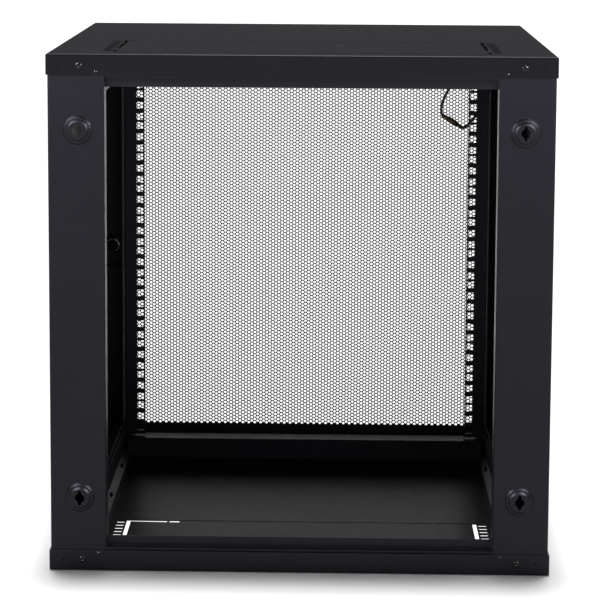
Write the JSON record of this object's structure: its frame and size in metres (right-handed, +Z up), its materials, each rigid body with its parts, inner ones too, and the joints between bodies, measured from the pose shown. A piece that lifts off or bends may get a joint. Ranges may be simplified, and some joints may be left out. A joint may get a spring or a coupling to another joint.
{
  "type": "wall-mount network rack cabinet",
  "caption": "Wall-mount equipment rack cabinet: open back with keyhole bosses, sliding square-hole rails, lift-off side panels and a perforated lockable door.",
  "frame": {"origin": "middle of the cabinet's underside, halfway between the rear cover lips and the door face", "axes": "+Z up, +Y toward the door, -Y toward the wall, +X toward the door's hinge side"},
  "size_m": [0.6044, 0.456, 0.625],
  "materials": {
    "charcoal_coat": "fine texture powder coat",
    "zinc_plate": "zinc plated",
    "black_zinc": "black zinc plated",
    "lock_chrome": "bright",
    "spring_steel": "drawn wire",
    "white_nylon": "matt",
    "black_rubber": "matt",
    "wire_jacket": "satin",
    "connector_brass": "tarnished"
  },
  "bodies": {
    "frame": {"top_cover": "charcoal_coat", "bottom_cover": "charcoal_coat", "top_entry_plate": "charcoal_coat", "bottom_entry_plate": "charcoal_coat", "rear_upright_hinge_side": "charcoal_coat", "rear_upright_lock_side": "charcoal_coat", "front_post_hinge_side": "charcoal_coat", "front_post_lock_side": "charcoal_coat", "rear_top_crossbar": "charcoal_coat", "rear_bottom_crossbar": "charcoal_coat", "front_top_crossbar": "charcoal_coat", "front_bottom_crossbar": "charcoal_coat", "top_depth_bar_hinge_side": "charcoal_coat", "top_depth_bar_lock_side": "charcoal_coat", "bottom_depth_bar_hinge_side": "charcoal_coat", "bottom_depth_bar_lock_side": "charcoal_coat", "cover_screws": "black_zinc", "crossbar_rivets": "black_zinc", "depth_bar_screws": "black_zinc", "top_hinge_bracket": "charcoal_coat", "bottom_hinge_bracket": "charcoal_coat", "bottom_hinge_pin": "zinc_plate", "bottom_hinge_washer": "white_nylon", "door_buffers": "black_rubber", "frame_earth_stud": "zinc_plate", "frame_earth_lead": "wire_jacket", "earth_connector": "connector_brass"},
    "door": {"door_skin": "charcoal_coat", "door_mesh": "charcoal_coat", "door_stiffener_hinge_side": "charcoal_coat", "door_stiffener_lock_side": "charcoal_coat", "door_lock_barrel": "lock_chrome", "door_lock_nut": "black_zinc", "top_hinge_guide": "zinc_plate", "top_hinge_spring": "spring_steel", "door_earth_stud": "zinc_plate", "door_earth_lead": "wire_jacket"},
    "door_lock": {"door_lock_plug": "lock_chrome", "door_lock_cam": "black_zinc", "door_lock_cam_screw": "black_zinc"},
    "hinge_pin": {"top_hinge_pin": "zinc_plate"},
    "side_panel_hinge_side": {"side_panel_hinge_side": "charcoal_coat", "side_lock_barrel_hinge_side": "lock_chrome", "side_lock_nut_hinge_side": "black_zinc"},
    "side_lock_hinge_side": {"side_lock_plug_hinge_side": "lock_chrome", "side_lock_cam_hinge_side": "black_zinc"},
    "rail_hinge_side": {"rail_hinge_side": "charcoal_coat", "rail_bolts_hinge_side": "black_zinc", "rail_nuts_hinge_side": "zinc_plate"},
    "side_panel_lock_side": {"side_panel_lock_side": "charcoal_coat", "side_lock_barrel_lock_side": "lock_chrome", "side_lock_nut_lock_side": "black_zinc"},
    "side_lock_lock_side": {"side_lock_plug_lock_side": "lock_chrome", "side_lock_cam_lock_side": "black_zinc"},
    "rail_lock_side": {"rail_lock_side": "charcoal_coat", "rail_bolts_lock_side": "black_zinc", "rail_nuts_lock_side": "zinc_plate"}
  },
  "joints": [
    {"name": "door_hinge", "type": "hinge", "parent": "frame", "child": "door", "pos_m": [0.29, 0.216, 0.3125], "axis": [0, 0, -1], "range_deg": [0, 120]},
    {"name": "door_lock_turn", "type": "hinge", "parent": "door", "child": "door_lock", "pos_m": [-0.272, 0.21, 0.3125], "axis": [0, -1, 0], "range_deg": [0, 90]},
    {"name": "top_hinge_pin_slide", "type": "slide", "parent": "door", "child": "hinge_pin", "axis": [0, 0, -1], "range_m": [0, 0.01], "stiffness_N_per_m": 300, "springref_m": -0.003, "deforming": ["top_hinge_spring"]},
    {"name": "side_panel_hinge_side_lift_off", "type": "slide", "parent": "frame", "child": "side_panel_hinge_side", "axis": [1, 0, 0], "range_m": [0, 0.15]},
    {"name": "side_lock_hinge_side_turn", "type": "hinge", "parent": "side_panel_hinge_side", "child": "side_lock_hinge_side", "pos_m": [0.29, -0.01125, 0.575], "axis": [1, 0, 0], "range_deg": [0, 90]},
    {"name": "rail_hinge_side_slide", "type": "slide", "parent": "frame", "child": "rail_hinge_side", "axis": [0, -1, 0], "range_m": [0, 0.2]},
    {"name": "side_panel_lock_side_lift_off", "type": "slide", "parent": "frame", "child": "side_panel_lock_side", "axis": [-1, 0, 0], "range_m": [0, 0.15]},
    {"name": "side_lock_lock_side_turn", "type": "hinge", "parent": "side_panel_lock_side", "child": "side_lock_lock_side", "pos_m": [-0.29, -0.01125, 0.575], "axis": [1, 0, 0], "range_deg": [0, 90]},
    {"name": "rail_lock_side_slide", "type": "slide", "parent": "frame", "child": "rail_lock_side", "axis": [0, -1, 0], "range_m": [0, 0.2]}
  ]
}
